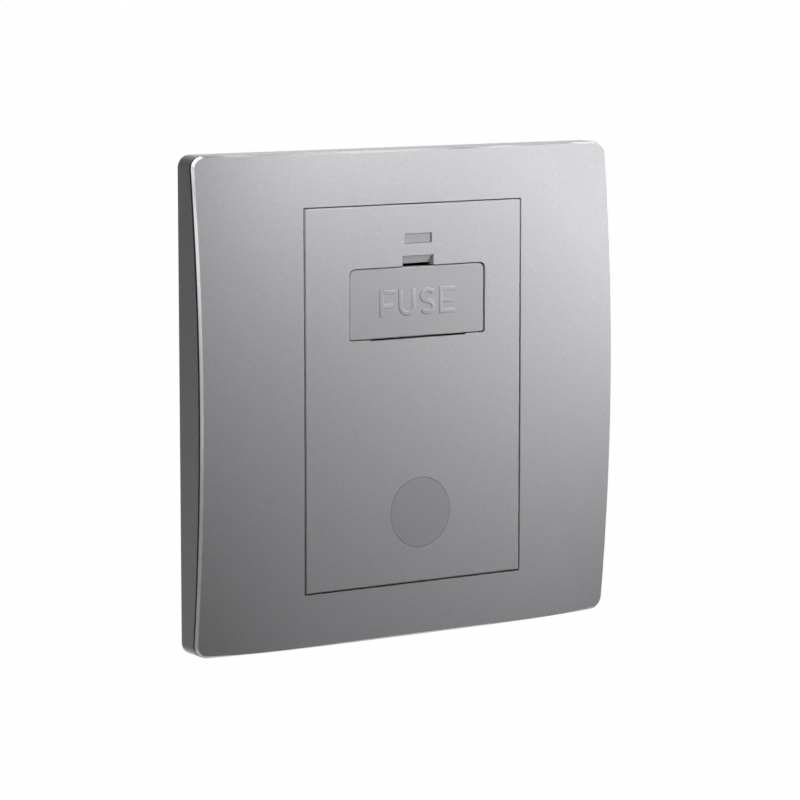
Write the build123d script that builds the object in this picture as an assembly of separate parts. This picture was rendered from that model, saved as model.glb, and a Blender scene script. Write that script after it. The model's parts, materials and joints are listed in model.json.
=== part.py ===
from build123d import *
import math
import os

# Fused connection unit for a one-gang wall box, in millimetres.
# The wall is the plane y = 0, the room is at -Y, +X is to the right and +Z is up.
# The origin is midway between the two fixing slots.
# Heights are measured out of the wall, so a negative height is inside the wall box.

# Cover frame
PLATE_SIZE = 86.0
PLATE_CORNER_R = 2.2
FRONT_HEIGHT = 7.5
CORNER_DROP = 2.8
PILLOW_SPARE = 2.0
FRAME_WALL = 2.0
FRAME_BEVEL = 0.4
GROOVE_LAND = 0.1
GROOVE_WIDTH = 0.5
GROOVE_DEPTH = 0.9
FRAME_SKIRT = 1.5
SEAM_GAP = 0.22
CLIP_WIDTH = 6.0
CLIP_RISE = 21.0
CLIP_REACH = 2.2
CLIP_BARB = 0.6
CLIP_PLAY = 0.25

# Centre panel
PANEL_WIDTH = 44.9
PANEL_TALL = 66.9
PANEL_CORNER_R = 0.3
PANEL_THICK = 2.0
PANEL_BEVEL = 0.2
PANEL_SKIRT = 1.5
BOSS_R = 2.6

# Mounting yoke
YOKE_SIDE_INSET = 6.0
YOKE_END_INSET = 5.0
YOKE_CORNER_R = 5.0
YOKE_THICK = 1.2
YOKE_LIP = 3.2
YOKE_LIP_LENGTH = 50.0
YOKE_BEND_R = 0.6
YOKE_LEDGE = 2.2
YOKE_WEB = 0.55
YOKE_WINDOW_R = 2.0
FIXING_CENTRES = 60.3
FIXING_SLOT_R = 2.1
FIXING_SLOT_LENGTH = 6.6
TONGUE_WIDTH = 4.0

# Fuse carrier and its hinge
CARRIER_TALL = 12.25
CARRIER_X = 0.7
CARRIER_HEADROOM = 10.975
CARRIER_SINK = 0.25
CARRIER_BROW_R = 1.0
CARRIER_FOOT_R = 0.5
CARRIER_FACE = 1.6
CARRIER_GAP = 0.2
CARRIER_FOOT_GAP = 0.1
CARRIER_EDGE_R = 0.2
RELIEF_WIDTH = 20.0
RELIEF_GAP = 0.2
PIVOT_DEPTH = 1.65
PIVOT_RISE = 1.9
TRUNNION_R = 0.8
TRUNNION_LENGTH = 1.5
TRUNNION_CLEAR = 0.1
HUB_WALL = 0.6
BEARING_WALL = 1.2
SWING_CLEAR = 0.15
CHEEK_THICK = 1.0
CHEEK_INSET = 0.15
GRIP_WALL = 0.9
GRIP_WIDTH = 2.6
GRIP_SPREAD = 4.4
GRIP_MOUTH = 75.0

# Cartridge fuse
FUSE_LENGTH = 25.4
FUSE_R = 3.15
FUSE_CAP_LENGTH = 6.0
FUSE_CAP_WALL = 0.35
FUSE_BARREL_R = 2.95
FUSE_BEHIND_PIVOT = 3.25
FUSE_ABOVE_PIVOT = 5.0
FUSE_CLEAR = 0.1
CAP_SEAT_CLEAR = 0.02

# Prise notch, indicator window and flex outlet
NOTCH_WIDTH = 6.5
NOTCH_TALL = 1.8
NOTCH_STEP = 0.25
NOTCH_DEPTH = 1.0
NOTCH_SLOT = 0.4
WINDOW_WIDTH = 5.7
WINDOW_TALL = 1.75
WINDOW_ABOVE = 5.0
WINDOW_RECESS = 0.25
LENS_FLANGE = 0.7
LENS_FLANGE_THICK = 0.8
OUTLET_X = 1.2
OUTLET_MARGIN = 12.45
OUTLET_R = 6.25
OUTLET_BORE_R = 5.5
OUTLET_LEDGE = 1.2
BLANK_CLEAR = 0.06
BLANK_SKIRT = 1.0
BLANK_SKIRT_LENGTH = 3.0

# Base housing
BASE_SIDE_INSET = 1.0
BASE_END_INSET = 0.25
BASE_CORNER_R = 3.0
BASE_WALL = 1.8
BASE_FLOOR_DEPTH = 9.5
BASE_FLOOR = 1.5
TUNNEL_R = 5.4
TUNNEL_WALL = 1.1
BOSS_WALL = 1.2
PART_CLEAR = 0.15

# Terminal shrouds
SHROUD_WALL = 1.2
SHROUD_BACK = 1.5
SHROUD_BEVEL = 0.6
SHROUD_PEG_R = 1.2

# Terminals, contacts and links
TERMINAL_WIDTH = 7.6
TERMINAL_TALL = 8.0
TERMINAL_DEPTH = 8.5
ENTRY_WALL = 2.3
TERMINAL_PITCH = 12.5
WIRE_BORE_R = 2.1
WIRE_BORE_DEPTH = 4.3
TERMINAL_SCREW_R = 1.75
TERMINAL_HEAD_R = 2.4
TERMINAL_HEAD = 1.6
STRIP_THICK = 0.8
STRIP_WIDTH = 4.0
CONTACT_WRAP = 65.0
CONTACT_CLEAR = 0.12
LINK_OVERHANG = 0.5
TAB_INSET = 1.0
SCREW_SLOT = 0.7
SCREW_SLOT_DEPTH = 0.8
THREAD_CLEAR = 0.05

# Assembly screws
ASSEMBLY_RIM = 0.85
ASSEMBLY_SCREW_R = 1.4
ASSEMBLY_HEAD_R = 2.6
ASSEMBLY_HEAD = 2.0
ASSEMBLY_SINK = 3.0
ASSEMBLY_BITE = 3.6

# Cord clamp
CLAMP_BELOW_EARTH = 6.7
CLAMP_SIDE_CLEAR = 0.4
CLAMP_FOOT = 4.6
CLAMP_BAND = 5.0
CLAMP_CLEAR_HEIGHT = 6.0
CLAMP_THICK = 1.4
CLAMP_SCREW_R = 1.4
CLAMP_HEAD_R = 2.1
CLAMP_HEAD = 1.6
CLAMP_BITE = 6.0
CLAMP_BOSS_R = 2.5

# Indicator
BOARD_RIM = 1.0
BOARD_TALL = 6.6
BOARD_THICK = 1.0
BOARD_HEIGHT = 2.4
LED_R = 1.5
RESISTOR_R = 0.9
RESISTOR_LENGTH = 6.0
RESISTOR_DROP = 1.7
PIN_R = 0.5
PIN_DROP = 2.1
LOAD_PIN_INSET = 0.2
NEUTRAL_PIN_X = -2.0
LINK_ARM_WIDTH = 3.0

# Sizes and places worked out from those above
YOKE_WIDTH = PLATE_SIZE - 2 * YOKE_SIDE_INSET
YOKE_TALL = PLATE_SIZE - 2 * YOKE_END_INSET
BASE_WIDTH = PANEL_WIDTH - 2 * BASE_SIDE_INSET
BASE_TALL = PANEL_TALL - 2 * BASE_END_INSET
CARRIER_WIDTH = FUSE_LENGTH + 2 * (PART_CLEAR + CHEEK_THICK + CHEEK_INSET)
PANEL_REAR = FRONT_HEIGHT - PANEL_THICK
CARRIER_FRONT = FRONT_HEIGHT - CARRIER_SINK
PIVOT_HEIGHT = CARRIER_FRONT - PIVOT_DEPTH
CARRIER_REAR = CARRIER_FRONT - CARRIER_FACE
CARRIER_TOP = PANEL_TALL / 2 - CARRIER_HEADROOM
CARRIER_FOOT = CARRIER_TOP - CARRIER_TALL
CARRIER_RISE = (CARRIER_TOP + CARRIER_FOOT) / 2
PIVOT_Z = CARRIER_FOOT + PIVOT_RISE
FUSE_HEIGHT = PIVOT_HEIGHT - FUSE_BEHIND_PIVOT
FUSE_Z = PIVOT_Z + FUSE_ABOVE_PIVOT
OUTLET_Z = OUTLET_MARGIN - PANEL_TALL / 2
WINDOW_RISE = CARRIER_TOP + WINDOW_ABOVE
FRAME_WINDOW = PANEL_WIDTH / 2 + SEAM_GAP
ASSEMBLY_EDGE = ASSEMBLY_HEAD_R + PART_CLEAR + ASSEMBLY_RIM
ASSEMBLY_SPREAD_X = BASE_WIDTH / 2 - ASSEMBLY_EDGE
ASSEMBLY_SPREAD_Z = BASE_TALL / 2 - ASSEMBLY_EDGE
YOKE_WINDOW_WIDTH = BASE_WIDTH - 2 * (BASE_WALL + YOKE_LEDGE)
YOKE_WINDOW_TALL = 2 * (ASSEMBLY_SPREAD_Z - ASSEMBLY_SCREW_R - PART_CLEAR - YOKE_WEB)
TERMINAL_SPREAD = BASE_WIDTH / 2 - ENTRY_WALL - PART_CLEAR - TERMINAL_WIDTH / 2
POCKET_WIDTH = TERMINAL_WIDTH + 2 * PART_CLEAR
POCKET_TALL = TERMINAL_TALL + 2 * PART_CLEAR
SHROUD_INNER = TERMINAL_SPREAD - POCKET_WIDTH / 2 - SHROUD_WALL
CONTACT_CENTRE = (FUSE_LENGTH - FUSE_CAP_LENGTH) / 2
LOAD_PIN_X = CARRIER_X + CONTACT_CENTRE - STRIP_WIDTH / 2 - LOAD_PIN_INSET
BOARD_WIDTH = 2 * (LOAD_PIN_X - CARRIER_X + PIN_R + BOARD_RIM)
FLOOR = -BASE_FLOOR_DEPTH
BASE_REAR = FLOOR - BASE_FLOOR
TERMINAL_REAR = FLOOR - TERMINAL_DEPTH
SHROUD_REAR = TERMINAL_REAR - SHROUD_BACK
STRIP_TOP = FLOOR + STRIP_THICK
LINE_Z = FUSE_Z
NEUTRAL_Z = LINE_Z - TERMINAL_PITCH
EARTH_Z = NEUTRAL_Z - TERMINAL_PITCH
EARTH_LINK_Z = EARTH_Z + TERMINAL_TALL / 2 - STRIP_WIDTH / 2
CLAMP_Z = EARTH_LINK_Z - CLAMP_BELOW_EARTH
CLAMP_WIDTH = 2 * (SHROUD_INNER - CLAMP_SIDE_CLEAR)
CLAMP_ARCH = CLAMP_WIDTH - 2 * (CLAMP_FOOT + CLAMP_THICK)
TERMINAL_ROWS = {"line": LINE_Z, "neutral": NEUTRAL_Z, "earth": EARTH_Z}
TERMINAL_SIDES = {"supply": -1, "load": 1}
BOARD_REAR = BOARD_HEIGHT - BOARD_THICK


def prism(outline, low, high):
    """Front-view outline made solid between two heights out of the wall."""
    return extrude(Plane.XZ.offset(low) * outline, amount=high - low)


def peg(x, z, radius, low, high):
    """Round peg or hole that runs straight out of the wall."""
    return prism(Pos(x, z) * Circle(radius), low, high)


def slab(width, tall, x, z, low, high):
    """Square-edged block given by its front-view size and centre."""
    return prism(Pos(x, z) * Rectangle(width, tall), low, high)


def side_profile(outline, left, right):
    """Outline in the (height, z) section made solid from left to right."""
    section = Plane((left, 0, 0), x_dir=(0, -1, 0), z_dir=(-1, 0, 0))
    return extrude(section * outline, amount=left - right)


def plan_profile(points, low, high):
    """Outline of (x, height) points made solid between two levels of z."""
    flat = [(x, -height) for x, height in points]
    outline = make_face(Polyline(*flat, close=True))
    return extrude(Plane.XY.offset(low) * outline, amount=high - low)


def rod(height, z, radius, left, right):
    """Round bar or bore that runs from left to right."""
    return side_profile(Pos(height, z) * Circle(radius), left, right)


def edges_at(shape, height):
    """Edges that lie wholly at one height out of the wall."""
    return shape.edges().filter_by_position(Axis.Y, -height, -height)


def pillow(height):
    """Solid below a front skin that is flat in the middle and droops at its four corners.

    The drop grows with the fourth power of x and the square of z.
    """
    reach = PLATE_SIZE / 2 + PILLOW_SPARE
    drop = CORNER_DROP * (2 * reach / PLATE_SIZE) ** 6
    columns, rows = 4, 2
    net = []
    for column in range(columns + 1):
        x = reach * (2 * column / columns - 1)
        strip = []
        for row in range(rows + 1):
            z = reach * (2 * row / rows - 1)
            swing = (-1) ** (column + row)
            strip.append((x, drop * swing - height, z))
        net.append(strip)
    return extrude(Face.make_bezier_surface(net), amount=2 * FRONT_HEIGHT, dir=(0, 1, 0))


def make_cover_frame():
    """Moulded frame: bevelled pillow front, grooved walls, a skirt round the window and four clips."""
    outer = prism(RectangleRounded(PLATE_SIZE, PLATE_SIZE, PLATE_CORNER_R), 0, FRONT_HEIGHT + 1)
    body = outer & pillow(FRONT_HEIGHT)
    front = body.faces().sort_by(Axis.Y)[0]
    body = chamfer(front.edges(), FRAME_BEVEL) - make_frame_groove()
    inside = PLATE_SIZE - 2 * FRAME_WALL
    hollow = prism(RectangleRounded(inside, inside, PLATE_CORNER_R), 0, FRONT_HEIGHT)
    skin = pillow(FRONT_HEIGHT - FRAME_WALL)
    window_width = PANEL_WIDTH + 2 * SEAM_GAP
    window_tall = PANEL_TALL + 2 * SEAM_GAP
    skirt = Rectangle(window_width + 2 * FRAME_SKIRT, window_tall + 2 * FRAME_SKIRT)
    hollow = (hollow & skin) - prism(skirt, YOKE_THICK, FRONT_HEIGHT)
    window = RectangleRounded(window_width, window_tall, PANEL_CORNER_R)
    body = body - hollow - prism(window, 0, FRONT_HEIGHT + 1)
    for side in (-1, 1):
        for rise in (-CLIP_RISE, CLIP_RISE):
            body += make_frame_clip(side, rise)
    return body


def make_frame_groove():
    """Shadow groove round the frame's sides, that follows the edge of the pillow front."""
    top = FRONT_HEIGHT - FRAME_BEVEL - GROOVE_LAND
    band = pillow(top) - pillow(top - GROOVE_WIDTH)
    core = PLATE_SIZE - 2 * GROOVE_DEPTH
    return band - prism(RectangleRounded(core, core, PLATE_CORNER_R), -FRONT_HEIGHT, FRONT_HEIGHT)


def make_frame_clip(side, rise):
    """Spring leg on the frame's skirt, with a barb that catches behind the yoke."""
    inner = FRAME_WINDOW
    outer = FRAME_WINDOW + FRAME_SKIRT
    points = [
        (inner, YOKE_THICK),
        (outer, YOKE_THICK),
        (outer, -CLIP_PLAY),
        (outer + CLIP_BARB, -CLIP_PLAY),
        (outer, -CLIP_REACH),
        (inner, -CLIP_REACH),
    ]
    mirrored = [(side * x, height) for x, height in points]
    return plan_profile(mirrored, rise - CLIP_WIDTH / 2, rise + CLIP_WIDTH / 2)


def make_mounting_yoke():
    """Pressed steel yoke: folded lips, a window, fixing slots, clip slots and earth tongues."""
    outline = RectangleRounded(YOKE_WIDTH, YOKE_TALL, YOKE_CORNER_R)
    plate = prism(outline, 0, YOKE_THICK) - prism(make_yoke_cuts(), 0, YOKE_THICK)
    for side in (-1, 1):
        fold_x = side * (YOKE_WIDTH - YOKE_THICK) / 2
        plate -= slab(YOKE_THICK, YOKE_LIP_LENGTH, fold_x, 0, 0, YOKE_THICK)
        plate += make_yoke_lip(fold_x)
        tongue_x = side * (YOKE_WINDOW_WIDTH - YOKE_THICK) / 2
        plate += slab(YOKE_THICK, TONGUE_WIDTH, tongue_x, EARTH_LINK_Z, STRIP_TOP, YOKE_THICK)
    return plate


def make_yoke_lip(fold_x):
    """Edge of the yoke that is folded forward to stiffen it, round at the fold."""
    lip = slab(YOKE_THICK, YOKE_LIP_LENGTH, fold_x, 0, 0, YOKE_LIP)
    rear_edges = edges_at(lip, 0).filter_by(Axis.Z).sort_by(Axis.X)
    fold = rear_edges[0] if fold_x < 0 else rear_edges[-1]
    return fillet(fold, YOKE_BEND_R)


def make_yoke_cuts():
    """Openings in the yoke, seen from the front."""
    cuts = RectangleRounded(YOKE_WINDOW_WIDTH, YOKE_WINDOW_TALL, YOKE_WINDOW_R)
    cuts += Pos(OUTLET_X, OUTLET_Z) * Circle(TUNNEL_R + TUNNEL_WALL + PART_CLEAR)
    clip_width = FRAME_SKIRT + CLIP_BARB + 2 * CLIP_PLAY
    clip_slot = Rectangle(clip_width, CLIP_WIDTH + 2 * CLIP_PLAY)
    clip_x = FRAME_WINDOW + (FRAME_SKIRT + CLIP_BARB) / 2
    for side in (-1, 1):
        slot = SlotOverall(FIXING_SLOT_LENGTH, 2 * FIXING_SLOT_R)
        cuts += Pos(side * FIXING_CENTRES / 2, 0) * slot
        for up in (-1, 1):
            cuts += Pos(side * clip_x, up * CLIP_RISE) * clip_slot
            screw = Circle(ASSEMBLY_SCREW_R + PART_CLEAR)
            cuts += Pos(side * ASSEMBLY_SPREAD_X, up * ASSEMBLY_SPREAD_Z) * screw
    return cuts


def make_centre_panel():
    """Moulded panel: bevelled front, skirt, screw bosses, hinge bearings and its apertures."""
    outline = RectangleRounded(PANEL_WIDTH, PANEL_TALL, PANEL_CORNER_R)
    body = prism(outline, YOKE_THICK, FRONT_HEIGHT)
    body = chamfer(edges_at(body, FRONT_HEIGHT), PANEL_BEVEL)
    inside = Rectangle(PANEL_WIDTH - 2 * PANEL_SKIRT, PANEL_TALL - 2 * PANEL_SKIRT)
    body -= prism(inside, YOKE_THICK, PANEL_REAR)
    for x in (-ASSEMBLY_SPREAD_X, ASSEMBLY_SPREAD_X):
        for z in (-ASSEMBLY_SPREAD_Z, ASSEMBLY_SPREAD_Z):
            body += peg(x, z, BOSS_R, YOKE_THICK, PANEL_REAR)
            body -= peg(x, z, ASSEMBLY_SCREW_R + THREAD_CLEAR, YOKE_THICK, PANEL_REAR)
    body += make_hinge_bearings()
    body -= make_carrier_aperture()
    body -= make_notch_cut()
    body -= slab(WINDOW_WIDTH, WINDOW_TALL, CARRIER_X, WINDOW_RISE, PANEL_REAR, FRONT_HEIGHT)
    body -= peg(OUTLET_X, OUTLET_Z, OUTLET_R, FRONT_HEIGHT - OUTLET_LEDGE, FRONT_HEIGHT)
    body -= peg(OUTLET_X, OUTLET_Z, OUTLET_BORE_R, PANEL_REAR, FRONT_HEIGHT)
    for side in (-1, 1):
        body += make_board_post(side)
    return body


def make_hinge_bearings():
    """Two blocks behind the panel that carry the carrier's trunnions."""
    wall = TRUNNION_R + TRUNNION_CLEAR + BEARING_WALL
    inner = CARRIER_WIDTH / 2 + CARRIER_GAP
    outer = inner + TRUNNION_LENGTH + BEARING_WALL
    low = PIVOT_HEIGHT - wall
    blocks = []
    for side in (-1, 1):
        x = CARRIER_X + side * (inner + outer) / 2
        blocks.append(slab(outer - inner, 2 * wall, x, PIVOT_Z, low, PANEL_REAR))
    return blocks


def carrier_outline(spare, foot_spare):
    """Front outline of the carrier, grown by its gaps: wide rounds above and small ones below."""
    top = CARRIER_TOP + spare
    foot = CARRIER_FOOT - foot_spare
    outline = Pos(0, (top + foot) / 2) * Rectangle(CARRIER_WIDTH + 2 * spare, top - foot)
    outline = fillet(outline.vertices().group_by(Axis.Y)[-1], CARRIER_BROW_R + spare)
    return fillet(outline.vertices().group_by(Axis.Y)[0], CARRIER_FOOT_R + foot_spare)


def make_carrier_aperture():
    """Hole for the carrier, with the relief below it, the swing of its foot and the bearings."""
    hole = prism(carrier_outline(CARRIER_GAP, CARRIER_FOOT_GAP), PANEL_REAR, FRONT_HEIGHT)
    relief_z = CARRIER_FOOT - CARRIER_FOOT_GAP
    hole += slab(RELIEF_WIDTH, 2 * RELIEF_GAP, 0, relief_z, PANEL_REAR, FRONT_HEIGHT)
    foot_reach = math.hypot(PIVOT_DEPTH - CARRIER_EDGE_R, PIVOT_RISE - CARRIER_EDGE_R) + CARRIER_EDGE_R
    half = CARRIER_WIDTH / 2 + CARRIER_GAP
    hole += rod(PIVOT_HEIGHT, PIVOT_Z, foot_reach + SWING_CLEAR, -half, half)
    pin_end = half + TRUNNION_LENGTH
    hole += rod(PIVOT_HEIGHT, PIVOT_Z, TRUNNION_R + TRUNNION_CLEAR, -pin_end, pin_end)
    return Pos(CARRIER_X, 0, 0) * hole


def make_notch_cut():
    """Prise notch above the carrier: a floor that slopes in to a slot behind the carrier's edge."""
    foot = CARRIER_TOP - CARRIER_GAP
    brow = CARRIER_TOP + CARRIER_GAP + NOTCH_TALL
    slot = CARRIER_TOP + CARRIER_GAP + NOTCH_SLOT
    points = [
        (FRONT_HEIGHT, foot),
        (FRONT_HEIGHT, brow),
        (FRONT_HEIGHT - NOTCH_STEP, brow),
        (FRONT_HEIGHT - NOTCH_DEPTH, slot),
        (PANEL_REAR, slot),
        (PANEL_REAR, foot),
    ]
    section = make_face(Polyline(*points, close=True))
    return side_profile(section, CARRIER_X - NOTCH_WIDTH / 2, CARRIER_X + NOTCH_WIDTH / 2)


def make_board_post(side):
    """Post behind the panel that the indicator board rests on."""
    x = CARRIER_X + side * (BOARD_WIDTH / 2 - PANEL_SKIRT)
    return slab(PANEL_SKIRT, BOARD_TALL, x, WINDOW_RISE, BOARD_HEIGHT, PANEL_REAR)


def make_fuse_carrier():
    """Hinged carrier: face with rounded edges, two cheeks with trunnions and two clips for the fuse."""
    body = prism(carrier_outline(0, 0), CARRIER_REAR, CARRIER_FRONT)
    body = fillet(edges_at(body, CARRIER_FRONT), CARRIER_EDGE_R)
    for side in (-1, 1):
        body += make_cheek(side)
        body += make_fuse_clip(side)
    return Pos(CARRIER_X, 0, 0) * body


def make_cheek(side):
    """End wall of the carrier and its trunnion."""
    inner = FUSE_LENGTH / 2 + PART_CLEAR
    outer = inner + CHEEK_THICK
    hub = Pos(PIVOT_HEIGHT, PIVOT_Z) * Circle(TRUNNION_R + HUB_WALL)
    nose = Pos(FUSE_HEIGHT, FUSE_Z) * Circle(FUSE_R)
    middle = (CARRIER_REAR + CARRIER_FRONT) / 2
    face = Pos(middle, CARRIER_RISE) * Rectangle(CARRIER_FACE / 2, CARRIER_TALL / 2)
    wall = make_hull((hub + nose + face).edges())
    left, right = sorted((side * inner, side * outer))
    cheek = side_profile(wall, left, right)
    tip = CARRIER_WIDTH / 2 + CARRIER_GAP + TRUNNION_LENGTH - TRUNNION_CLEAR
    left, right = sorted((side * inner, side * tip))
    return cheek + rod(PIVOT_HEIGHT, PIVOT_Z, TRUNNION_R, left, right)


def make_fuse_clip(side):
    """C-shaped clip round the fuse barrel, open away from the face."""
    inner = FUSE_BARREL_R + FUSE_CLEAR
    ring = Circle(inner + GRIP_WALL) - Circle(inner)
    far = 2 * (inner + GRIP_WALL)
    lean = math.radians(GRIP_MOUTH)
    mouth = make_face(
        Polyline(
            (0, 0),
            (-far * math.cos(lean), far * math.sin(lean)),
            (-far, far * math.sin(lean)),
            (-far, -far * math.sin(lean)),
            (-far * math.cos(lean), -far * math.sin(lean)),
            close=True,
        )
    )
    centre = side * GRIP_SPREAD
    clip = Pos(FUSE_HEIGHT, FUSE_Z) * (ring - mouth)
    return side_profile(clip, centre - GRIP_WIDTH / 2, centre + GRIP_WIDTH / 2)


def make_fuse_barrel():
    """Ceramic body of the fuse, stepped down where it enters the end caps."""
    neck = FUSE_LENGTH / 2 - FUSE_CAP_LENGTH
    end = FUSE_LENGTH / 2 - FUSE_CAP_WALL
    inside = FUSE_R - FUSE_CAP_WALL - CAP_SEAT_CLEAR
    body = rod(FUSE_HEIGHT, FUSE_Z, FUSE_BARREL_R, -neck, neck)
    return Pos(CARRIER_X, 0, 0) * (body + rod(FUSE_HEIGHT, FUSE_Z, inside, -end, end))


def make_fuse_cap(side):
    """Drawn metal cap on one end of the fuse."""
    tip = FUSE_LENGTH / 2
    left, right = sorted((side * tip, side * (tip - FUSE_CAP_LENGTH)))
    cap = rod(FUSE_HEIGHT, FUSE_Z, FUSE_R, left, right)
    left, right = sorted((side * (tip - FUSE_CAP_WALL), side * (tip - FUSE_CAP_LENGTH)))
    cap -= rod(FUSE_HEIGHT, FUSE_Z, FUSE_R - FUSE_CAP_WALL, left, right)
    return Pos(CARRIER_X, 0, 0) * cap


def make_fuse_contact(side, pin_x):
    """Fixed contact: a seat that the fuse cap swings into, a leg and a tab on the line terminal."""
    inner = FUSE_R + CONTACT_CLEAR
    outer = inner + STRIP_THICK
    closing = 180 + math.degrees(math.atan2(FUSE_BEHIND_PIVOT, FUSE_ABOVE_PIVOT))
    start = math.radians(closing - CONTACT_WRAP)
    stop = math.radians(closing + CONTACT_WRAP)
    far = 2 * outer
    wedge = make_face(
        Polyline(
            (0, 0),
            (far * math.cos(start), far * math.sin(start)),
            (far * math.cos(math.radians(closing)), far * math.sin(math.radians(closing))),
            (far * math.cos(stop), far * math.sin(stop)),
            close=True,
        )
    )
    seat = Pos(FUSE_HEIGHT, FUSE_Z) * ((Circle(outer) - Circle(inner)) & wedge)
    leg_top = FUSE_HEIGHT - inner - STRIP_THICK / 2
    leg = Pos((leg_top + FLOOR) / 2, FUSE_Z) * Rectangle(leg_top - FLOOR, STRIP_THICK)
    near = CARRIER_X + side * (CONTACT_CENTRE - STRIP_WIDTH / 2)
    away = CARRIER_X + side * (CONTACT_CENTRE + STRIP_WIDTH / 2)
    contact = side_profile(seat + leg, min(near, away), max(near, away))
    tab_end = side * (TERMINAL_SPREAD + TERMINAL_WIDTH / 2 - TAB_INSET)
    tab_width = abs(tab_end - near)
    contact += slab(tab_width, STRIP_WIDTH, (near + tab_end) / 2, LINE_Z, FLOOR, STRIP_TOP)
    if pin_x is not None:
        arm_top = WINDOW_RISE - PIN_DROP + LINK_ARM_WIDTH / 2
        arm_tall = arm_top - LINE_Z
        contact += slab(LINK_ARM_WIDTH, arm_tall, pin_x, LINE_Z + arm_tall / 2, FLOOR, STRIP_TOP)
    return contact


def make_base_housing():
    """Moulded rear tray with terminal windows, flex tunnel and screw bosses."""
    body = prism(RectangleRounded(BASE_WIDTH, BASE_TALL, BASE_CORNER_R), BASE_REAR, 0)
    inside_width = BASE_WIDTH - 2 * BASE_WALL
    inside_tall = BASE_TALL - 2 * BASE_WALL
    inner_r = BASE_CORNER_R - BASE_WALL
    body -= prism(RectangleRounded(inside_width, inside_tall, inner_r), FLOOR, 0)
    for x in (-ASSEMBLY_SPREAD_X, ASSEMBLY_SPREAD_X):
        for z in (-ASSEMBLY_SPREAD_Z, ASSEMBLY_SPREAD_Z):
            body += make_corner_boss(x, z)
    head_room = ASSEMBLY_HEAD_R + PART_CLEAR
    for x in (-ASSEMBLY_SPREAD_X, ASSEMBLY_SPREAD_X):
        for z in (-ASSEMBLY_SPREAD_Z, ASSEMBLY_SPREAD_Z):
            body -= peg(x, z, ASSEMBLY_SCREW_R + PART_CLEAR, BASE_REAR, 0)
            body -= peg(x, z, head_room, BASE_REAR, BASE_REAR + ASSEMBLY_SINK)
    for side in TERMINAL_SIDES.values():
        body -= make_terminal_pockets(side, BASE_REAR, FLOOR)
        body -= make_shroud_pegs(side, PART_CLEAR)
    body += peg(OUTLET_X, OUTLET_Z, TUNNEL_R + TUNNEL_WALL, FLOOR, PANEL_REAR)
    body -= peg(OUTLET_X, OUTLET_Z, TUNNEL_R, BASE_REAR, PANEL_REAR)
    for side in (-1, 1):
        x = side * clamp_screw_spread()
        body += peg(x, CLAMP_Z, CLAMP_BOSS_R, FLOOR, BASE_REAR + CLAMP_BITE + BOSS_WALL)
        body -= peg(x, CLAMP_Z, CLAMP_SCREW_R + THREAD_CLEAR, BASE_REAR, BASE_REAR + CLAMP_BITE)
    return body


def make_corner_boss(x, z):
    """Corner post of the tray that an assembly screw runs through."""
    boss = peg(x, z, ASSEMBLY_HEAD_R + BOSS_WALL, FLOOR, 0)
    return boss & prism(RectangleRounded(BASE_WIDTH, BASE_TALL, BASE_CORNER_R), FLOOR, 0)


def make_terminal_pockets(side, low, high):
    """Square ways for the three terminals of one side."""
    pockets = []
    for z in TERMINAL_ROWS.values():
        pockets.append(slab(POCKET_WIDTH, POCKET_TALL, side * TERMINAL_SPREAD, z, low, high))
    return pockets


def make_shroud_pegs(side, spare):
    """Two pegs between the terminals that stake a shroud to the tray's floor."""
    pegs = []
    for z in ((LINE_Z + NEUTRAL_Z) / 2, (NEUTRAL_Z + EARTH_Z) / 2):
        pegs.append(peg(side * TERMINAL_SPREAD, z, SHROUD_PEG_R + spare, BASE_REAR, FLOOR))
    return pegs


def make_terminal_shroud(side):
    """Deep cover behind the tray round one side's terminals, with screw holes and wire entries."""
    top = LINE_Z + POCKET_TALL / 2 + SHROUD_WALL
    foot = EARTH_Z - POCKET_TALL / 2 - SHROUD_WALL
    width = BASE_WIDTH / 2 - SHROUD_INNER
    middle = side * (SHROUD_INNER + BASE_WIDTH / 2) / 2
    body = slab(width, top - foot, middle, (top + foot) / 2, SHROUD_REAR, BASE_REAR)
    body = chamfer(edges_at(body, SHROUD_REAR), SHROUD_BEVEL)
    body += make_shroud_pegs(side, 0)
    body -= make_terminal_pockets(side, TERMINAL_REAR, BASE_REAR)
    for z in TERMINAL_ROWS.values():
        x = side * TERMINAL_SPREAD
        body -= peg(x, z, TERMINAL_HEAD_R + PART_CLEAR, SHROUD_REAR, TERMINAL_REAR)
        body -= make_wire_way(side, z)
    return body


def make_wire_way(side, z):
    """Round wire entry through a shroud's outer wall."""
    left, right = sorted((side * TERMINAL_SPREAD, side * BASE_WIDTH / 2))
    return rod(FLOOR - WIRE_BORE_DEPTH, z, WIRE_BORE_R + PART_CLEAR, left, right)


def make_terminal(side, z):
    """Brass tunnel terminal: a block with a wire bore and a screw hole into it."""
    x = side * TERMINAL_SPREAD
    block = slab(TERMINAL_WIDTH, TERMINAL_TALL, x, z, TERMINAL_REAR, FLOOR)
    reach = TERMINAL_WIDTH / 2
    block -= rod(FLOOR - WIRE_BORE_DEPTH, z, WIRE_BORE_R, x - reach, x + reach)
    return block - peg(x, z, TERMINAL_SCREW_R + THREAD_CLEAR, TERMINAL_REAR, FLOOR - WIRE_BORE_DEPTH)


def make_screw(x, z, shank_r, head_r, head, seat, tip):
    """Slotted pan screw driven from the back; its head sits behind the seat height."""
    body = peg(x, z, shank_r, seat, tip)
    top = peg(x, z, head_r, seat - head, seat)
    top = chamfer(edges_at(top, seat - head), head / 3)
    top -= slab(2 * head_r, SCREW_SLOT, x, z, seat - head, seat - head + SCREW_SLOT_DEPTH)
    return body + top


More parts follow.
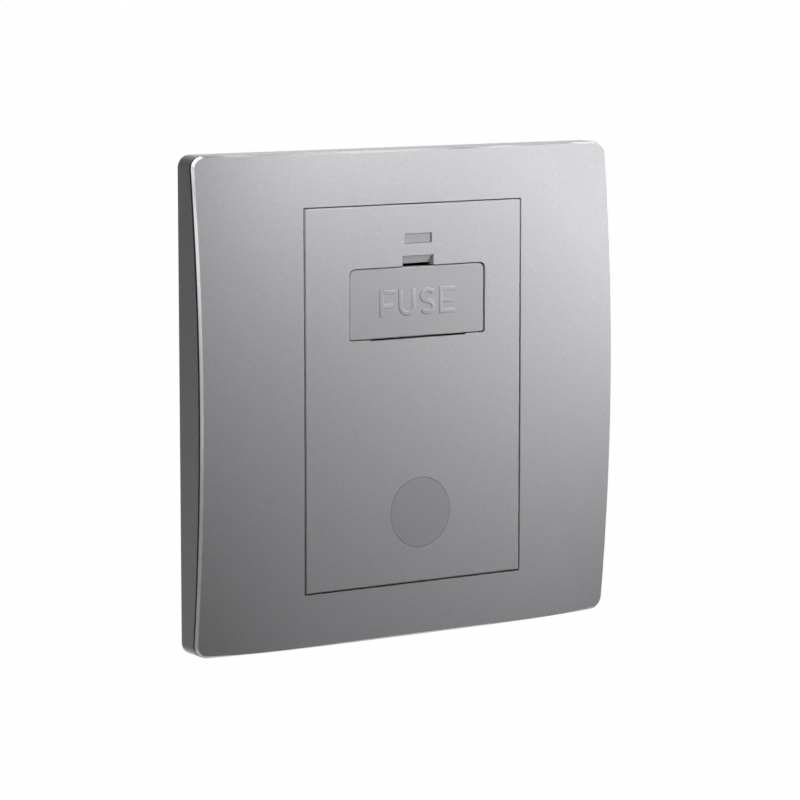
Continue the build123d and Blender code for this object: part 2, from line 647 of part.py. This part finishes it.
def make_terminal_screws():
    """One screw for each terminal, backed off just clear of the wire bore."""
    tip = FLOOR - WIRE_BORE_DEPTH - WIRE_BORE_R
    screws = []
    for side in TERMINAL_SIDES.values():
        for z in TERMINAL_ROWS.values():
            x = side * TERMINAL_SPREAD
            screw = make_screw(x, z, TERMINAL_SCREW_R, TERMINAL_HEAD_R, TERMINAL_HEAD, TERMINAL_REAR, tip)
            screws.append(screw)
    return Compound(children=screws)


def make_assembly_screws():
    """Four screws from the base through the yoke into the panel's bosses."""
    seat = BASE_REAR + ASSEMBLY_SINK
    tip = YOKE_THICK + ASSEMBLY_BITE
    screws = []
    for x in (-ASSEMBLY_SPREAD_X, ASSEMBLY_SPREAD_X):
        for z in (-ASSEMBLY_SPREAD_Z, ASSEMBLY_SPREAD_Z):
            screws.append(make_screw(x, z, ASSEMBLY_SCREW_R, ASSEMBLY_HEAD_R, ASSEMBLY_HEAD, seat, tip))
    return Compound(children=screws)


def make_neutral_link():
    """Strap across the two neutral terminals, with an arm up to the indicator's pin."""
    length = 2 * (TERMINAL_SPREAD + TERMINAL_WIDTH / 2 - TAB_INSET)
    link = slab(length, STRIP_WIDTH, 0, NEUTRAL_Z, FLOOR, STRIP_TOP)
    arm_top = WINDOW_RISE - PIN_DROP + LINK_ARM_WIDTH / 2
    arm_tall = arm_top - NEUTRAL_Z
    return link + slab(LINK_ARM_WIDTH, arm_tall, NEUTRAL_PIN_X, NEUTRAL_Z + arm_tall / 2, FLOOR, STRIP_TOP)


def make_earth_link():
    """Strap across the two earth terminals, under the yoke's tongues."""
    length = YOKE_WINDOW_WIDTH + 2 * LINK_OVERHANG
    return slab(length, STRIP_WIDTH, 0, EARTH_LINK_Z, FLOOR, STRIP_TOP)


def clamp_screw_spread():
    """Distance of each clamp screw from the middle: centre of the clamp's foot."""
    return (CLAMP_WIDTH / 2 + CLAMP_ARCH / 2 + CLAMP_THICK) / 2


def make_cord_clamp():
    """Arched bar behind the base that grips a flexible cord."""
    half = CLAMP_WIDTH / 2
    arch = CLAMP_ARCH / 2
    foot = BASE_REAR - CLAMP_THICK
    crown = BASE_REAR - CLAMP_CLEAR_HEIGHT
    points = [
        (-half, BASE_REAR),
        (-half, foot),
        (-arch - CLAMP_THICK, foot),
        (-arch - CLAMP_THICK, crown - CLAMP_THICK),
        (arch + CLAMP_THICK, crown - CLAMP_THICK),
        (arch + CLAMP_THICK, foot),
        (half, foot),
        (half, BASE_REAR),
        (arch, BASE_REAR),
        (arch, crown),
        (-arch, crown),
        (-arch, BASE_REAR),
    ]
    clamp = plan_profile(points, CLAMP_Z - CLAMP_BAND / 2, CLAMP_Z + CLAMP_BAND / 2)
    crown_edges = clamp.edges().filter_by(Axis.Z).group_by(Axis.Y)[-1]
    clamp = fillet(crown_edges, CLAMP_THICK)
    for side in (-1, 1):
        x = side * clamp_screw_spread()
        clamp -= peg(x, CLAMP_Z, CLAMP_SCREW_R + PART_CLEAR, foot, BASE_REAR)
    return clamp


def make_cord_clamp_screws():
    """Two screws that pull the cord clamp down."""
    seat = BASE_REAR - CLAMP_THICK
    tip = BASE_REAR + CLAMP_BITE - THREAD_CLEAR
    screws = []
    for side in (-1, 1):
        x = side * clamp_screw_spread()
        screws.append(make_screw(x, CLAMP_Z, CLAMP_SCREW_R, CLAMP_HEAD_R, CLAMP_HEAD, seat, tip))
    return Compound(children=screws)


def make_outlet_blank():
    """Push-in disc that closes the front flex outlet, with a split skirt behind it."""
    ledge = FRONT_HEIGHT - OUTLET_LEDGE
    body = peg(OUTLET_X, OUTLET_Z, OUTLET_R - BLANK_CLEAR, ledge, FRONT_HEIGHT)
    skirt_r = TUNNEL_R - BLANK_CLEAR
    foot = ledge - BLANK_SKIRT_LENGTH
    skirt = peg(OUTLET_X, OUTLET_Z, skirt_r, foot, ledge)
    skirt -= peg(OUTLET_X, OUTLET_Z, skirt_r - BLANK_SKIRT, foot, ledge)
    skirt -= slab(2 * OUTLET_R, 2 * BLANK_SKIRT, OUTLET_X, OUTLET_Z, foot, ledge)
    skirt -= slab(2 * BLANK_SKIRT, 2 * OUTLET_R, OUTLET_X, OUTLET_Z, foot, ledge)
    return body + skirt


def make_indicator_lens():
    """Clear window piece with a flange that seats behind the panel."""
    width = WINDOW_WIDTH - 2 * BLANK_CLEAR
    tall = WINDOW_TALL - 2 * BLANK_CLEAR
    flange_low = PANEL_REAR - LENS_FLANGE_THICK
    lens = slab(width, tall, CARRIER_X, WINDOW_RISE, PANEL_REAR, FRONT_HEIGHT - WINDOW_RECESS)
    flange_width = WINDOW_WIDTH + 2 * LENS_FLANGE
    flange_tall = WINDOW_TALL + 2 * LENS_FLANGE
    return lens + slab(flange_width, flange_tall, CARRIER_X, WINDOW_RISE, flange_low, PANEL_REAR)


def make_indicator_board():
    """Small circuit board that carries the indicator lamp."""
    return slab(BOARD_WIDTH, BOARD_TALL, CARRIER_X, WINDOW_RISE, BOARD_REAR, BOARD_HEIGHT)


def make_indicator_led():
    """Indicator lamp between the board and the lens, with a bevelled end."""
    top = PANEL_REAR - LENS_FLANGE_THICK - PART_CLEAR
    lamp = peg(CARRIER_X, WINDOW_RISE, LED_R, BOARD_HEIGHT, top)
    return chamfer(edges_at(lamp, top), LED_R / 3)


def make_indicator_resistor():
    """Ballast resistor on the back of the board."""
    height = BOARD_REAR - RESISTOR_R
    z = WINDOW_RISE - RESISTOR_DROP
    half = RESISTOR_LENGTH / 2
    middle = (LOAD_PIN_X + NEUTRAL_PIN_X) / 2
    return rod(height, z, RESISTOR_R, middle - half, middle + half)


def make_indicator_pins():
    """Two pins from the board to the load contact and the neutral link."""
    z = WINDOW_RISE - PIN_DROP
    pins = []
    for x in (NEUTRAL_PIN_X, LOAD_PIN_X):
        pins.append(peg(x, z, PIN_R, STRIP_TOP, BOARD_REAR))
    return Compound(children=pins)


parts = {
    "cover_frame": make_cover_frame(),
    "mounting_yoke": make_mounting_yoke(),
    "centre_panel": make_centre_panel(),
    "fuse_carrier": make_fuse_carrier(),
    "fuse_barrel": make_fuse_barrel(),
    "fuse_cap_left": make_fuse_cap(-1),
    "fuse_cap_right": make_fuse_cap(1),
    "supply_contact": make_fuse_contact(-1, None),
    "load_contact": make_fuse_contact(1, LOAD_PIN_X),
    "base_housing": make_base_housing(),
    "supply_terminal_shroud": make_terminal_shroud(-1),
    "load_terminal_shroud": make_terminal_shroud(1),
    "terminal_screws": make_terminal_screws(),
    "assembly_screws": make_assembly_screws(),
    "neutral_link": make_neutral_link(),
    "earth_link": make_earth_link(),
    "cord_clamp": make_cord_clamp(),
    "cord_clamp_screws": make_cord_clamp_screws(),
    "outlet_blank": make_outlet_blank(),
    "indicator_lens": make_indicator_lens(),
    "indicator_board": make_indicator_board(),
    "indicator_led": make_indicator_led(),
    "indicator_resistor": make_indicator_resistor(),
    "indicator_pins": make_indicator_pins(),
}
for row, row_z in TERMINAL_ROWS.items():
    for role, role_side in TERMINAL_SIDES.items():
        parts[f"{row}_{role}_terminal"] = make_terminal(role_side, row_z)

os.makedirs("parts", exist_ok=True)
for node, shape in parts.items():
    export_step(shape, f"parts/{node}.step")
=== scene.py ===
import json
import math
from typing import NamedTuple

import bmesh
import bpy
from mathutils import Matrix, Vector


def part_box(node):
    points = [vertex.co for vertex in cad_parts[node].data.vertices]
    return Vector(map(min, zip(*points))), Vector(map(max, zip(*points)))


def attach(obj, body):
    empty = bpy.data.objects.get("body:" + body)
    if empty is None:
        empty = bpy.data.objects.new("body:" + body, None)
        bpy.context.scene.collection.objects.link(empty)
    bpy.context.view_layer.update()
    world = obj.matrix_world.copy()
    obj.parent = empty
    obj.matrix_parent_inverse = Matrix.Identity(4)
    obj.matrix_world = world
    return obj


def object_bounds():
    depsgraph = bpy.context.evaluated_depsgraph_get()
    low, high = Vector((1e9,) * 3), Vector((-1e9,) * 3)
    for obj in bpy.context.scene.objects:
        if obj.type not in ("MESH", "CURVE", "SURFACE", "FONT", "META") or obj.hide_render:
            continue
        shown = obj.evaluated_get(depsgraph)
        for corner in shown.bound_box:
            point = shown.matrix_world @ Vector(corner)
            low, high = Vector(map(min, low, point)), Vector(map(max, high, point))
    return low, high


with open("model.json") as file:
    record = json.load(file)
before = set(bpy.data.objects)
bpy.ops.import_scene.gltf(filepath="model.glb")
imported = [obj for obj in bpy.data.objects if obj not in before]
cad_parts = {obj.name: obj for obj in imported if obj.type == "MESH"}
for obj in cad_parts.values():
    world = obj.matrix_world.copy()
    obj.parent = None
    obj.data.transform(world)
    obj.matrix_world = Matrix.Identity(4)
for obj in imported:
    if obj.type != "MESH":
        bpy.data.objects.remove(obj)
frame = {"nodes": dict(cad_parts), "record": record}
cad_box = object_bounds()

MM = 0.001
WHITE = (1.0, 1.0, 1.0, 1.0)
GREY_TINT = (0.993, 0.982, 1.02)


def grey(value):
    """Neutral grey with a trace of blue, from a linear value."""
    return tuple(value * part for part in GREY_TINT) + (1.0,)


class Lamp(NamedTuple):
    """Soft oblong lamp: place, aim and size in mm, power in watts, and the kinds of light it gives."""

    name: str
    place: tuple
    aim: tuple
    size: tuple
    power: float
    diffuse: bool = True
    glossy: bool = True


class Finish(NamedTuple):
    """Looks of a moulding or a metal: colour, roughness, and cells of grain to the metre."""

    colour: tuple
    roughness: float
    grain: float


# Camera, fitted to the edges in the photograph: angles in degrees, lens and sensor in mm
CAMERA_AZIMUTH = -32.94
CAMERA_ELEVATION = 7.57
CAMERA_DISTANCE = 591.7 * MM
CAMERA_AIM = Vector((-3.09, -7.5, -0.78)) * MM
CAMERA_LENS = 152.09
SENSOR_WIDTH = 36.0

# Lamps for the front, the side wall, the top and the rear, and four that show in reflections alone
LAMPS = (
    Lamp("key_light", (68, -80, 46), (10, -7, 5), (40, 40), 0.127, glossy=False),
    Lamp("brow_light", (-26, -49, 63), (-15, -7, 43), (20, 20), 0.0265, glossy=False),
    Lamp("side_light", (-186, -51, 20), (-43, -7, 20), (60, 112), 0.047, diffuse=False),
    Lamp("wall_light", (-175, -20, -95), (-43, -5, -20), (60, 60), 0.038, glossy=False),
    Lamp("top_light", (60, -22, 160), (0, -7, 43), (80, 110), 0.064),
    Lamp("back_light", (0, 320, 60), (0, 10, 0), (200, 200), 1.1, glossy=False),
    Lamp("fill_light", (280, 90, 80), (43, 10, 0), (120, 120), 0.35),
    Lamp("corner_light", (-107, -27, 152), (-42, -5, 42), (60, 230), 0.16, diffuse=False),
    Lamp("edge_light", (139, 52, 141), (31, 19, 43), (70, 95), 0.05, diffuse=False),
    Lamp("foot_light", (-40, 20, -130), (-38, 16, -43), (270, 270), 0.12, diffuse=False),
)

# World's own light, and the floor, whose shade the camera sees a small share of
AMBIENT = 0.008
FLOOR_DROP = 400 * MM
FLOOR_SIZE = 60.0
FLOOR_SHADOW = 0.006
FLOOR_GRAIN = 40
FLOOR_DARK = 0.86
FLOOR_LIGHT = 0.9
FLOOR_ROUGHNESS = 0.9

# Octaves of the cloudy patterns in all finishes
NOISE_DETAIL = 3.0

# Satin metallic paint: cells to the metre, and tints as shares of its colour
PAINTED_SLOTS = ("painted_frame", "painted_panel")
PAINT_COLOUR = grey(0.36)
PAINT_FLAKES = 3000
PAINT_DARK = 0.965
PAINT_LIGHT = 1.035
PAINT_CLOUDS = 1800
PAINT_ROUGHNESS = (0.22, 0.3)
PAINT_RELIEF = 0.03 * MM
PAINT_RELIEF_STRENGTH = 0.4
PAINT_METALLIC = 0.03
PAINT_SPECULAR = 0.1

# Moulded plastic and ceramic
MOULDING_DARK = 0.96
MOULDING_LIGHT = 1.04
MOULDING_SPREAD = 0.05
MOULDING_RELIEF = 0.02 * MM
MOULDING_RELIEF_STRENGTH = 0.2
MOULDINGS = {
    "carrier_plastic": Finish(grey(0.3), 0.5, 2600),
    "lens_plastic": Finish(grey(0.252), 0.4, 2600),
    "blank_plastic": Finish(grey(0.285), 0.5, 2600),
    "base_plastic": Finish(grey(0.62), 0.55, 1400),
    "fuse_ceramic": Finish((0.72, 0.67, 0.55, 1.0), 0.35, 1800),
    "clamp_plastic": Finish(grey(0.5), 0.5, 1400),
    "board_laminate": Finish((0.02, 0.11, 0.04, 1.0), 0.4, 2600),
    "lamp_plastic": Finish((0.62, 0.05, 0.03, 1.0), 0.2, 2600),
    "resistor_body": Finish((0.5, 0.36, 0.17, 1.0), 0.3, 2600),
}
INDICATOR_CLEARNESS = 0.5

# Metals, and the bright bevel of the painted frame
METAL_PATCHES = 260
METAL_DARK = 0.9
METAL_LIGHT = 1.06
METAL_SPREAD = 0.08
METAL_RELIEF = 0.01 * MM
METAL_RELIEF_STRENGTH = 0.15
METALS = {
    "yoke_steel": Finish((0.56, 0.57, 0.58, 1.0), 0.36, 3000),
    "terminal_brass": Finish((0.67, 0.47, 0.2, 1.0), 0.3, 2600),
    "contact_bronze": Finish((0.6, 0.36, 0.17, 1.0), 0.34, 2600),
    "screw_steel": Finish((0.55, 0.54, 0.5, 1.0), 0.32, 3400),
    "fuse_metal": Finish((0.62, 0.6, 0.55, 1.0), 0.24, 3000),
    "frame_bevel": Finish(grey(0.24), 0.2, 3000),
}

# Bevel round the cover frame's front: how far in it may lie, and how far its faces turn to the front
BEVEL_BAND = 1.0 * MM
BEVEL_TURN = (0.4, 0.9)

# Fuse carrier's face, as in the model
CARRIER_TALL = 12.25 * MM

# Lettering on the carrier
LETTER_TALL = 4.9 * MM
LETTER_STROKE = 0.95 * MM
LETTER_GAP = 0.68 * MM
LETTER_WIDTHS = {"F": 3.3 * MM, "U": 3.7 * MM, "S": 3.4 * MM, "E": 3.5 * MM}
LETTER_RAISE = 0.13 * MM
LETTER_SINK = 0.1 * MM
LETTER_SOFT = 0.22 * MM
SOFT_STEPS = 3
ROUND_PROFILE = 0.5
SHARP_ANGLE = math.radians(50)
ARC_STEPS = 20

# Middle arms of two letters as shares of their widths, and turns of the round letters in degrees
F_ARM = 0.88
E_ARM = 0.9
U_TURN = (180, 360)
S_UPPER_TURN = (25, 270)
S_LOWER_TURN = (90, -155)


def start_material(name):
    """New node material: its tree, its shader and the object's own coordinates."""
    material = bpy.data.materials.new(name)
    material.use_nodes = True
    tree = material.node_tree
    shader = tree.nodes["Principled BSDF"]
    place = tree.nodes.new("ShaderNodeTexCoord").outputs["Object"]
    return material, tree, shader, place


def add_noise(tree, place, scale):
    """Fine cloudy pattern, with the given number of cells to the metre."""
    noise = tree.nodes.new("ShaderNodeTexNoise")
    noise.inputs["Scale"].default_value = scale
    noise.inputs["Detail"].default_value = NOISE_DETAIL
    tree.links.new(place, noise.inputs["Vector"])
    return noise.outputs["Fac"]


def add_flakes(tree, place, scale):
    """Random level for each small cell, as of metal flakes in paint."""
    cells = tree.nodes.new("ShaderNodeTexVoronoi")
    cells.inputs["Scale"].default_value = scale
    tree.links.new(place, cells.inputs["Vector"])
    split = tree.nodes.new("ShaderNodeSeparateColor")
    tree.links.new(cells.outputs["Color"], split.inputs["Color"])
    return split.outputs["Red"]


def add_blend(tree, pattern, dark, light):
    """Colour between dark and light by a pattern."""
    mix = tree.nodes.new("ShaderNodeMix")
    mix.data_type = "RGBA"
    tree.links.new(pattern, mix.inputs["Factor"])
    mix.inputs["A"].default_value = dark
    mix.inputs["B"].default_value = light
    return mix.outputs["Result"]


def add_range(tree, pattern, low, high):
    """Number between low and high by a pattern."""
    span = tree.nodes.new("ShaderNodeMapRange")
    tree.links.new(pattern, span.inputs["Value"])
    span.inputs["To Min"].default_value = low
    span.inputs["To Max"].default_value = high
    return span.outputs["Result"]


def add_bump(tree, shader, pattern, depth, strength):
    """Fine relief on the shader from a pattern."""
    bump = tree.nodes.new("ShaderNodeBump")
    bump.inputs["Distance"].default_value = depth
    bump.inputs["Strength"].default_value = strength
    tree.links.new(pattern, bump.inputs["Height"])
    tree.links.new(bump.outputs["Normal"], shader.inputs["Normal"])


def scaled(colour, factor):
    """Colour made darker or lighter."""
    return tuple(part * factor for part in colour[:3]) + (1.0,)


def make_paint(name):
    """Satin metallic paint with fine flakes."""
    material, tree, shader, place = start_material(name)
    flakes = add_flakes(tree, place, PAINT_FLAKES)
    tint = add_blend(tree, flakes, scaled(PAINT_COLOUR, PAINT_DARK), scaled(PAINT_COLOUR, PAINT_LIGHT))
    tree.links.new(tint, shader.inputs["Base Color"])
    cloud = add_noise(tree, place, PAINT_CLOUDS)
    tree.links.new(add_range(tree, cloud, *PAINT_ROUGHNESS), shader.inputs["Roughness"])
    add_bump(tree, shader, cloud, PAINT_RELIEF, PAINT_RELIEF_STRENGTH)
    shader.inputs["Metallic"].default_value = PAINT_METALLIC
    shader.inputs["Specular IOR Level"].default_value = PAINT_SPECULAR
    return material


def make_moulding(name, colour, roughness, grain):
    """Moulded plastic or ceramic with a fine eroded texture."""
    material, tree, shader, place = start_material(name)
    cloud = add_noise(tree, place, grain)
    tint = add_blend(tree, cloud, scaled(colour, MOULDING_DARK), scaled(colour, MOULDING_LIGHT))
    tree.links.new(tint, shader.inputs["Base Color"])
    spread = add_range(tree, cloud, roughness - MOULDING_SPREAD, roughness + MOULDING_SPREAD)
    tree.links.new(spread, shader.inputs["Roughness"])
    add_bump(tree, shader, cloud, MOULDING_RELIEF, MOULDING_RELIEF_STRENGTH)
    return material


def make_metal(name, colour, roughness, grain):
    """Plain or plated metal with slight patches and fine drawing marks."""
    material, tree, shader, place = start_material(name)
    patches = add_noise(tree, place, METAL_PATCHES)
    tint = add_blend(tree, patches, scaled(colour, METAL_DARK), scaled(colour, METAL_LIGHT))
    tree.links.new(tint, shader.inputs["Base Color"])
    marks = add_noise(tree, place, grain)
    spread = add_range(tree, marks, roughness - METAL_SPREAD, roughness + METAL_SPREAD)
    tree.links.new(spread, shader.inputs["Roughness"])
    add_bump(tree, shader, marks, METAL_RELIEF, METAL_RELIEF_STRENGTH)
    shader.inputs["Metallic"].default_value = 1.0
    return material


def make_materials():
    """One material for each slot of the record, and one for the frame's bevel."""
    materials = {name: make_paint(name) for name in PAINTED_SLOTS}
    for name, finish in MOULDINGS.items():
        materials[name] = make_moulding(name, *finish)
    for name, finish in METALS.items():
        materials[name] = make_metal(name, *finish)
    indicator = materials["lamp_plastic"].node_tree.nodes["Principled BSDF"]
    indicator.inputs["Transmission Weight"].default_value = INDICATOR_CLEARNESS
    return materials


def dress_nodes(materials):
    """Gives every node of the model the material of its slot."""
    for row in frame["record"]["subparts"]:
        mesh = frame["nodes"][row["node"]].data
        mesh.materials.clear()
        mesh.materials.append(materials[row["material_slot"]])


def shine_bevel(material):
    """Gives the bevel between the frame's front and its side walls a brighter finish of its own."""
    mesh = frame["nodes"]["cover_frame"].data
    mesh.materials.append(material)
    edge = cad_box[1].x - BEVEL_BAND
    least, most = BEVEL_TURN
    for face in mesh.polygons:
        outward = max(abs(face.center.x), abs(face.center.z))
        if outward > edge and least < -face.normal.y < most:
            face.material_index = 1


def arc(centre_x, centre_z, reach_x, reach_z, start, stop):
    """Points along part of an ellipse, angles in degrees."""
    points = []
    for step in range(ARC_STEPS + 1):
        angle = math.radians(start + (stop - start) * step / ARC_STEPS)
        points.append((centre_x + reach_x * math.cos(angle), centre_z + reach_z * math.sin(angle)))
    return points


def ribbon(path):
    """Outline of a stroke of constant width along a path."""
    left, right = [], []
    for index, (x, z) in enumerate(path):
        before = path[max(index - 1, 0)]
        after = path[min(index + 1, len(path) - 1)]
        run = Vector((after[0] - before[0], after[1] - before[1])).normalized() * LETTER_STROKE / 2
        left.append((x - run.y, z + run.x))
        right.append((x + run.y, z - run.x))
    return left + right[::-1]


def comb(arms):
    """Outline of an upright stem with arms, each given by its foot and its length."""
    points = [(0, 0)]
    for foot, length in arms:
        if foot > 0:
            points.append((LETTER_STROKE, foot))
        points.append((length, foot))
        points.append((length, foot + LETTER_STROKE))
        if foot + LETTER_STROKE < LETTER_TALL:
            points.append((LETTER_STROKE, foot + LETTER_STROKE))
    if arms[0][0] > 0:
        points.insert(1, (LETTER_STROKE, 0))
    points.append((0, LETTER_TALL))
    return points


def letter_outlines():
    """Outline of each letter of the word, drawn from the lower left of its own box."""
    half = LETTER_STROKE / 2
    top = LETTER_TALL - LETTER_STROKE
    middle = top / 2
    f_width, u_width, s_width, e_width = LETTER_WIDTHS.values()
    u_reach = u_width / 2 - half
    bowl = arc(u_width / 2, half + u_reach, u_reach, u_reach, *U_TURN)
    s_reach = s_width / 2 - half
    s_rise = top / 4
    upper = arc(s_width / 2, LETTER_TALL - half - s_rise, s_reach, s_rise, *S_UPPER_TURN)
    lower = arc(s_width / 2, half + s_rise, s_reach, s_rise, *S_LOWER_TURN)
    return {
        "F": comb([(middle - half, f_width * F_ARM), (top, f_width)]),
        "U": ribbon([(half, LETTER_TALL)] + bowl + [(u_width - half, LETTER_TALL)]),
        "S": ribbon(upper + lower[1:]),
        "E": comb([(0, e_width), (middle, e_width * E_ARM), (top, e_width)]),
    }


def raise_letter(mesh, outline):
    """Adds one raised letter with soft front edges."""
    base = [mesh.verts.new(point) for point in outline]
    face = mesh.faces.new(base)
    grown = bmesh.ops.extrude_face_region(mesh, geom=[face], use_keep_orig=True)["geom"]
    front = [item for item in grown if isinstance(item, bmesh.types.BMVert)]
    rim = [item for item in grown if isinstance(item, bmesh.types.BMEdge)]
    bmesh.ops.translate(mesh, verts=front, vec=(0, -LETTER_RAISE - LETTER_SINK, 0))
    bmesh.ops.bevel(
        mesh, geom=rim, offset=LETTER_SOFT, segments=SOFT_STEPS, profile=ROUND_PROFILE, affect="EDGES"
    )


def make_lettering(material):
    """Raised word on the carrier's face, for what the carrier holds."""
    low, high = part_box("fuse_carrier")
    face_y = low.y + LETTER_SINK
    word_width = sum(LETTER_WIDTHS.values()) + LETTER_GAP * (len(LETTER_WIDTHS) - 1)
    foot = high.z - (CARRIER_TALL + LETTER_TALL) / 2
    cursor = (low.x + high.x) / 2 - word_width / 2
    mesh = bmesh.new()
    for letter, outline in letter_outlines().items():
        raise_letter(mesh, [(cursor + x, face_y, foot + z) for x, z in outline])
        cursor += LETTER_WIDTHS[letter] + LETTER_GAP
    bmesh.ops.recalc_face_normals(mesh, faces=mesh.faces)
    data = bpy.data.meshes.new("carrier_lettering")
    mesh.to_mesh(data)
    mesh.free()
    data.materials.append(material)
    data.polygons.foreach_set("use_smooth", [True] * len(data.polygons))
    data.set_sharp_from_angle(angle=SHARP_ANGLE)
    word = bpy.data.objects.new("carrier_lettering", data)
    bpy.context.scene.collection.objects.link(word)
    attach(word, "carrier")


def background_rays(tree):
    """1 for rays that should see the white background, 0 for the light that falls on things."""
    path = tree.nodes.new("ShaderNodeLightPath")
    seen = path.outputs["Is Camera Ray"]
    for name in ("Is Glossy Ray", "Is Transmission Ray"):
        larger = tree.nodes.new("ShaderNodeMath")
        larger.operation = "MAXIMUM"
        tree.links.new(seen, larger.inputs[0])
        tree.links.new(path.outputs[name], larger.inputs[1])
        seen = larger.outputs["Value"]
    return seen


def make_world():
    """White background with a low, even light of its own."""
    world = bpy.data.worlds.new("studio")
    bpy.context.scene.world = world
    world.use_nodes = True
    tree = world.node_tree
    light = tree.nodes["Background"]
    light.inputs["Color"].default_value = WHITE
    light.inputs["Strength"].default_value = AMBIENT
    white = tree.nodes.new("ShaderNodeBackground")
    white.inputs["Color"].default_value = WHITE
    white.inputs["Strength"].default_value = 1.0
    mix = tree.nodes.new("ShaderNodeMixShader")
    tree.links.new(background_rays(tree), mix.inputs["Fac"])
    tree.links.new(light.outputs["Background"], mix.inputs[1])
    tree.links.new(white.outputs["Background"], mix.inputs[2])
    tree.links.new(mix.outputs["Shader"], tree.nodes["World Output"].inputs["Surface"])


def make_floor():
    """Pale plain floor below the object, white to the camera but for a soft shadow."""
    level = cad_box[0].z - FLOOR_DROP
    half = FLOOR_SIZE / 2
    corners = [(-half, -half, level), (half, -half, level), (half, half, level), (-half, half, level)]
    data = bpy.data.meshes.new("floor")
    data.from_pydata(corners, [], [(0, 1, 2, 3)])
    floor = bpy.data.objects.new("floor", data)
    bpy.context.scene.collection.objects.link(floor)
    material, tree, shader, place = start_material("floor_white")
    grain = add_noise(tree, place, FLOOR_GRAIN)
    tint = add_blend(tree, grain, grey(FLOOR_DARK), grey(FLOOR_LIGHT))
    tree.links.new(tint, shader.inputs["Base Color"])
    shader.inputs["Roughness"].default_value = FLOOR_ROUGHNESS
    white = tree.nodes.new("ShaderNodeEmission")
    white.inputs["Color"].default_value = WHITE
    share = add_range(tree, background_rays(tree), 0.0, 1.0 - FLOOR_SHADOW)
    mix = tree.nodes.new("ShaderNodeMixShader")
    tree.links.new(share, mix.inputs["Fac"])
    tree.links.new(shader.outputs["BSDF"], mix.inputs[1])
    tree.links.new(white.outputs["Emission"], mix.inputs[2])
    tree.links.new(mix.outputs["Shader"], tree.nodes["Material Output"].inputs["Surface"])
    data.materials.append(material)


def add_lamp(lamp):
    """Adds a lamp that the camera doesn't see, and that gives the kinds of light it names."""
    data = bpy.data.lights.new(lamp.name, "AREA")
    data.shape = "RECTANGLE"
    data.size = lamp.size[0] * MM
    data.size_y = lamp.size[1] * MM
    data.energy = lamp.power
    place = Vector(lamp.place) * MM
    aim = Vector(lamp.aim) * MM
    holder = bpy.data.objects.new(lamp.name, data)
    holder.location = place
    holder.rotation_mode = "QUATERNION"
    holder.rotation_quaternion = (aim - place).to_track_quat("-Z", "Y")
    holder.visible_camera = False
    holder.visible_diffuse = lamp.diffuse
    holder.visible_glossy = lamp.glossy
    bpy.context.scene.collection.objects.link(holder)


def make_camera():
    """Camera at the photograph's angle and distance."""
    turn = math.radians(CAMERA_AZIMUTH)
    tilt = math.radians(CAMERA_ELEVATION)
    back = Vector((math.sin(turn) * math.cos(tilt), -math.cos(turn) * math.cos(tilt), math.sin(tilt)))
    data = bpy.data.cameras.new("camera")
    data.sensor_width = SENSOR_WIDTH
    data.lens = CAMERA_LENS
    camera = bpy.data.objects.new("camera", data)
    camera.location = CAMERA_AIM + back * CAMERA_DISTANCE
    camera.rotation_mode = "QUATERNION"
    camera.rotation_quaternion = (-back).to_track_quat("-Z", "Y")
    bpy.context.scene.collection.objects.link(camera)
    bpy.context.scene.camera = camera


materials = make_materials()
dress_nodes(materials)
shine_bevel(materials["frame_bevel"])
make_lettering(materials["carrier_plastic"])
make_world()
make_floor()
for lamp in LAMPS:
    add_lamp(lamp)
make_camera()
bpy.context.scene.view_settings.view_transform = "Standard"
